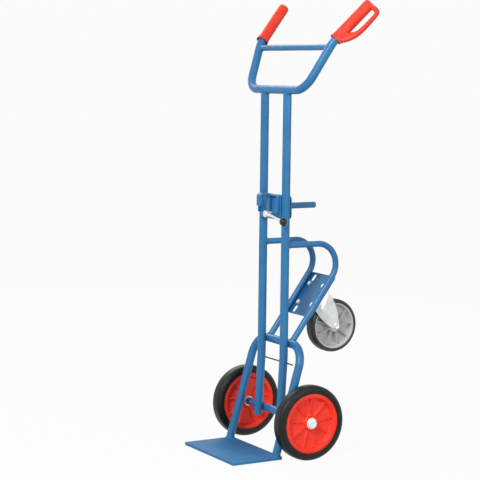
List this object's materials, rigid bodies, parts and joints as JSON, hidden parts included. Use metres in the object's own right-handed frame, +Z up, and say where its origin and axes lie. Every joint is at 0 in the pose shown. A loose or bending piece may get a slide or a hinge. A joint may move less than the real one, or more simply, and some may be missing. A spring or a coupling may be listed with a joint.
{
  "type": "drum trolley",
  "caption": "Two-wheeled tube-frame trolley that lifts a steel drum by a sliding rim hook and toe plate, with a rear swivel castor that carries the load when it is tipped.",
  "frame": {"origin": "on the floor, in the middle of the toe plate's underside", "axes": "+Z up, +Y to the rear where the user stands, +X to the user's left"},
  "size_m": [0.661, 0.607, 1.6032],
  "materials": {
    "frame_paint": "blue powder coat",
    "grip_plastic": "red moulded grip",
    "rim_plastic": "red moulded rim",
    "tyre_rubber": "black solid rubber",
    "castor_rubber": "dark grey rubber",
    "castor_plastic": "grey moulded rim",
    "zinc_steel": "bright zinc plate",
    "bearing_steel": "ground steel",
    "bush_plastic": "natural polyamide",
    "dark_steel": "dark painted rod",
    "knob_plastic": "black ball knob"
  },
  "bodies": {
    "frame": {"upright_left": "frame_paint", "upright_right": "frame_paint", "handle_bow": "frame_paint", "handle_crossbar": "frame_paint", "grip_left": "grip_plastic", "grip_right": "grip_plastic", "leg_hoop": "frame_paint", "toe_plate": "frame_paint", "strap_rod": "dark_steel", "axle": "zinc_steel", "axle_tube": "frame_paint", "axle_washers": "zinc_steel", "hub_caps": "zinc_steel", "castor_bow_left": "frame_paint", "castor_bow_right": "frame_paint", "castor_plate": "frame_paint", "castor_top_plate": "zinc_steel", "castor_bolts": "zinc_steel", "castor_nuts": "zinc_steel", "castor_king_pin": "zinc_steel", "castor_king_nut": "zinc_steel"},
    "wheel_left": {"wheel_left_rim": "rim_plastic", "wheel_left_tyre": "tyre_rubber", "wheel_left_bearing": "bearing_steel"},
    "wheel_right": {"wheel_right_rim": "rim_plastic", "wheel_right_tyre": "tyre_rubber", "wheel_right_bearing": "bearing_steel"},
    "castor_fork": {"castor_fork": "zinc_steel", "castor_axle_bolt": "zinc_steel", "castor_axle_nut": "zinc_steel", "castor_balls": "bearing_steel"},
    "castor_wheel": {"castor_rim": "castor_plastic", "castor_tyre": "castor_rubber", "castor_bush": "bush_plastic"},
    "hook_carriage": {"carriage_front": "frame_paint", "carriage_rear": "frame_paint", "drum_hook": "frame_paint", "carriage_peg": "frame_paint", "clamp_nut": "zinc_steel"},
    "clamp_lever": {"clamp_screw": "zinc_steel", "clamp_lever": "zinc_steel", "lever_knob": "knob_plastic"}
  },
  "joints": [
    {"name": "wheel_left_spin", "type": "hinge", "parent": "frame", "child": "wheel_left", "pos_m": [0.218, 0.17881, 0.1325], "axis": [1, 0, 0], "continuous": true},
    {"name": "wheel_right_spin", "type": "hinge", "parent": "frame", "child": "wheel_right", "pos_m": [-0.218, 0.17881, 0.1325], "axis": [1, 0, 0], "continuous": true},
    {"name": "castor_swivel", "type": "hinge", "parent": "frame", "child": "castor_fork", "pos_m": [0, 0.31138, 0.55466], "axis": [0, 0.809, -0.5878], "continuous": true},
    {"name": "castor_wheel_spin", "type": "hinge", "parent": "castor_fork", "child": "castor_wheel", "pos_m": [0, 0.40948, 0.43023], "axis": [1, 0, 0], "continuous": true},
    {"name": "hook_slide", "type": "slide", "parent": "frame", "child": "hook_carriage", "axis": [0, 0, 1], "range_m": [-0.07, 0.34]},
    {"name": "clamp_lever_turn", "type": "hinge", "parent": "hook_carriage", "child": "clamp_lever", "pos_m": [0, 0.1294, 0.848], "axis": [0, 1, 0], "range_deg": [0, 75]}
  ]
}
